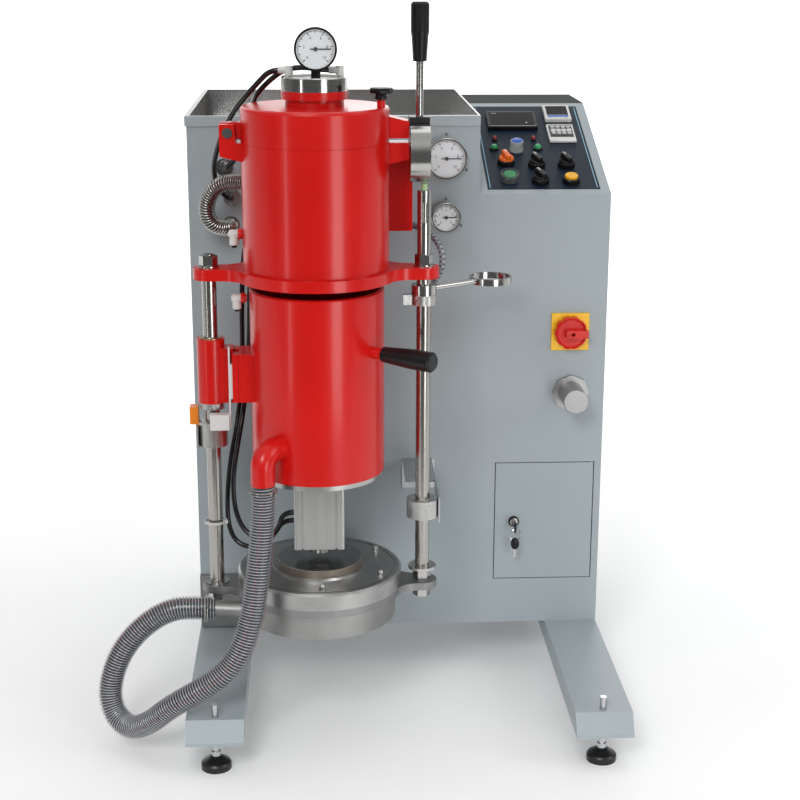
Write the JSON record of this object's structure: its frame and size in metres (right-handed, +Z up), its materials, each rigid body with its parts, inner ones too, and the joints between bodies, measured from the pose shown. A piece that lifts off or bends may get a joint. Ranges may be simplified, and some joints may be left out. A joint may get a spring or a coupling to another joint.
{
  "type": "vacuum casting machine",
  "caption": "Floor-standing vacuum casting machine: a sheet-steel cabinet with a sloping console, and in front of it a melting chamber on posts over a lifting flask chamber that swings out.",
  "frame": {"origin": "on the floor, under the middle of the box round the machine without its hoses", "axes": "+X to the right of someone who stands at the front, +Y away from them, +Z up"},
  "size_m": [0.8224, 0.851, 1.1325],
  "materials": {
    "cabinet_enamel": "satin blue-grey enamel",
    "dark_panel": "satin dark navy enamel",
    "black_plastic": "satin black plastic",
    "zinc_steel": "bright zinc-plated steel",
    "polished_steel": "polished stainless steel",
    "turned_aluminium": "machined aluminium",
    "red_paint": "glossy red enamel",
    "red_plastic": "glossy red plastic",
    "orange_plastic": "glossy orange plastic",
    "green_plastic": "glossy green plastic",
    "yellow_plastic": "glossy yellow plastic",
    "white_plastic": "satin white plastic",
    "graphite": "dark graphite",
    "refractory": "fired ceramic",
    "copper": "varnished copper",
    "seal_rubber": "silicone rubber",
    "clear_hose": "clear PVC hose over a close steel wire helix",
    "air_tube": "translucent pale tube",
    "gas_braid": "braided clear hose",
    "needle_black": "matt black"
  },
  "bodies": {
    "machine": {"cabinet_shell": "cabinet_enamel", "top_tray": "cabinet_enamel", "console_plate": "dark_panel", "console_fittings": "black_plastic", "legs": "cabinet_enamel", "levelling_feet": "zinc_steel", "base_bracket": "zinc_steel", "base_pot": "turned_aluminium", "base_plate": "turned_aluminium", "base_cover": "turned_aluminium", "wear_plate": "polished_steel", "guide_posts": "polished_steel", "post_collars": "polished_steel", "post_brackets": "zinc_steel", "upper_chamber": "red_paint", "seal_rings": "seal_rubber", "furnace_lining": "refractory", "induction_coil": "copper", "crucible": "graphite", "detent_tube": "polished_steel", "gauge_cases": "polished_steel", "face_fittings": "polished_steel", "silencer": "turned_aluminium", "generator": "cabinet_enamel", "fasteners": "polished_steel", "vacuum_hose": "clear_hose", "air_tubes": "air_tube", "gas_hose": "gas_braid", "metal_hose": "polished_steel"},
    "lid": {"lid": "red_paint", "sight_ring": "polished_steel", "lid_gauge": "black_plastic", "lid_tubes": "air_tube"},
    "lid_knob": {"lid_knob": "black_plastic"},
    "lid_needle": {"lid_needle": "needle_black"},
    "latch_lever": {"latch_drum": "polished_steel", "lever_grip": "black_plastic"},
    "swing_arm": {"swing_sleeve": "red_paint", "switch_trip": "zinc_steel", "swing_tubes": "air_tube", "vacuum_hose_top": "clear_hose"},
    "lift_chamber": {"lower_chamber": "red_paint", "lift_cylinder": "turned_aluminium", "pull_grip": "black_plastic", "flask_seat": "refractory"},
    "lift_rod": {"piston_rod": "polished_steel"},
    "ring_arm": {"ring_arm": "polished_steel", "gas_hose_end": "gas_braid"},
    "service_door": {"service_door": "cabinet_enamel"},
    "door_lock": {"lock_and_key": "polished_steel"},
    "main_switch": {"main_switch_knob": "red_plastic"},
    "dial_knob": {"dial_knob": "white_plastic"},
    "orange_selector": {"orange_selector": "orange_plastic"},
    "selector_rear_left": {"selector_rear_left": "black_plastic"},
    "selector_rear_right": {"selector_rear_right": "black_plastic"},
    "selector_front": {"selector_front": "black_plastic"},
    "green_button": {"green_button": "green_plastic"},
    "yellow_button": {"yellow_button": "yellow_plastic"},
    "vacuum_needle": {"vacuum_needle": "needle_black"},
    "pressure_needle": {"pressure_needle": "needle_black"}
  },
  "joints": [
    {"name": "lid_hinge", "type": "hinge", "parent": "machine", "child": "lid", "pos_m": [-0.262, -0.2455, 0.948], "axis": [0, -1, 0], "range_deg": [0, 100]},
    {"name": "lid_knob_turn", "type": "hinge", "parent": "lid", "child": "lid_knob", "pos_m": [-0.03937, -0.27474, 0.985], "axis": [0, 0, 1], "range_deg": [0, 90]},
    {"name": "lid_needle_turn", "type": "hinge", "parent": "lid", "child": "lid_needle", "pos_m": [-0.133, -0.2455, 1.0668], "axis": [0, 1, 0], "range_deg": [0, 240]},
    {"name": "latch_lever_turn", "type": "hinge", "parent": "machine", "child": "latch_lever", "pos_m": [0.0035, -0.2455, 0.918], "axis": [1, 0, 0], "range_deg": [0, 90]},
    {"name": "chamber_swing", "type": "hinge", "parent": "machine", "child": "swing_arm", "pos_m": [-0.296, -0.2455, 0.585], "axis": [0, 0, 1], "range_deg": [-75, 0]},
    {"name": "chamber_lift", "type": "slide", "parent": "swing_arm", "child": "lift_chamber", "axis": [0, 0, 1], "range_m": [0, 0.0127]},
    {"name": "rod_stroke", "type": "slide", "parent": "lift_chamber", "child": "lift_rod", "axis": [0, 0, 1], "range_m": [-0.0234, 0]},
    {"name": "ring_arm_swing", "type": "hinge", "parent": "machine", "child": "ring_arm", "pos_m": [0.026, -0.2455, 0.711], "axis": [0, 0, 1], "range_deg": [-75, 40]},
    {"name": "door_hinge", "type": "hinge", "parent": "machine", "child": "service_door", "pos_m": [0.324, -0.0525, 0.27], "axis": [0, 0, 1], "range_deg": [0, 105]},
    {"name": "key_turn", "type": "hinge", "parent": "service_door", "child": "door_lock", "pos_m": [0.194, -0.0555, 0.269], "axis": [0, 1, 0], "range_deg": [0, 90]},
    {"name": "main_switch_turn", "type": "hinge", "parent": "machine", "child": "main_switch", "pos_m": [0.28, -0.0555, 0.599], "axis": [0, 1, 0], "range_deg": [-90, 0]},
    {"name": "dial_knob_turn", "type": "hinge", "parent": "machine", "child": "dial_knob", "pos_m": [0.202, 0.0851, 0.8781], "axis": [0, -0.3453, 0.9385], "range_deg": [-135, 135]},
    {"name": "orange_selector_turn", "type": "hinge", "parent": "machine", "child": "orange_selector", "pos_m": [0.18, 0.04193, 0.86222], "axis": [0, -0.3453, 0.9385], "range_deg": [-45, 45]},
    {"name": "selector_rear_left_turn", "type": "hinge", "parent": "machine", "child": "selector_rear_left", "pos_m": [0.23, 0.03348, 0.85911], "axis": [0, -0.3453, 0.9385], "range_deg": [-45, 45]},
    {"name": "selector_rear_right_turn", "type": "hinge", "parent": "machine", "child": "selector_rear_right", "pos_m": [0.279, 0.03348, 0.85911], "axis": [0, -0.3453, 0.9385], "range_deg": [-45, 45]},
    {"name": "selector_front_turn", "type": "hinge", "parent": "machine", "child": "selector_front", "pos_m": [0.23, -0.01813, 0.84012], "axis": [0, -0.3453, 0.9385], "range_deg": [-45, 45]},
    {"name": "green_button_press", "type": "slide", "parent": "machine", "child": "green_button", "axis": [0, 0.3453, -0.9385], "range_m": [0, 0.0035], "stiffness_N_per_m": 400, "springref_m": -0.001},
    {"name": "yellow_button_press", "type": "slide", "parent": "machine", "child": "yellow_button", "axis": [0, 0.3453, -0.9385], "range_m": [0, 0.0035], "stiffness_N_per_m": 400, "springref_m": -0.001},
    {"name": "vacuum_needle_turn", "type": "hinge", "parent": "machine", "child": "vacuum_needle", "pos_m": [0.073, -0.0555, 0.884], "axis": [0, 1, 0], "range_deg": [0, 240]},
    {"name": "pressure_needle_turn", "type": "hinge", "parent": "machine", "child": "pressure_needle", "pos_m": [0.073, -0.0555, 0.79], "axis": [0, 1, 0], "range_deg": [0, 240]}
  ],
  "couplings": [
    {"joint": "rod_stroke", "follows": "chamber_lift", "ratio": -1.8425}
  ]
}
